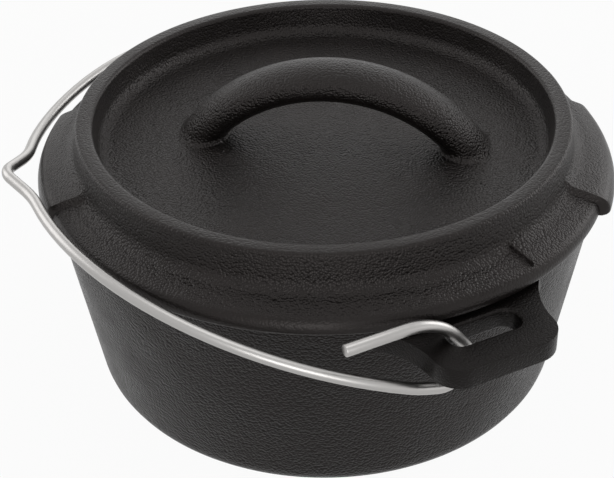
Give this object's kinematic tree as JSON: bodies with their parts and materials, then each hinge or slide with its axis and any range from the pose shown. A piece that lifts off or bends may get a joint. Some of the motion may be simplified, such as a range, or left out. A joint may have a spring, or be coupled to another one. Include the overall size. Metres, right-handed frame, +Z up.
{
  "type": "camp dutch oven",
  "caption": "Small cast iron camp oven: flat-based pot with slotted ears, dished coal-holding lid with grips and an arched handle, and a swinging wire bail with hooks.",
  "frame": {"origin": "centre of the pot's flat base, on the surface that it stands on", "axes": "+Z up through the lid's middle; +X towards the front ear, with the ears along X; the bail leans over the -Y side"},
  "size_m": [0.1832, 0.1575, 0.0892],
  "materials": {
    "pot_iron": "seasoned satin black with fine cast grain",
    "lid_iron": "seasoned satin black with fine cast grain",
    "bail_wire": "bright drawn stainless wire"
  },
  "bodies": {
    "pot_body": {"pot": "pot_iron", "front_ear": "pot_iron", "rear_ear": "pot_iron"},
    "lid_body": {"lid": "lid_iron", "lid_handle": "lid_iron"},
    "bail_body": {"bail": "bail_wire"}
  },
  "joints": [
    {"name": "lid_lift", "type": "slide", "parent": "pot_body", "child": "lid_body", "axis": [0, 0, 1], "range_m": [0, 0.08]},
    {"name": "bail_swing", "type": "hinge", "parent": "pot_body", "child": "bail_body", "pos_m": [0, -0.0124, 0.0538], "axis": [-1, 0, 0], "range_deg": [0, 85]}
  ]
}
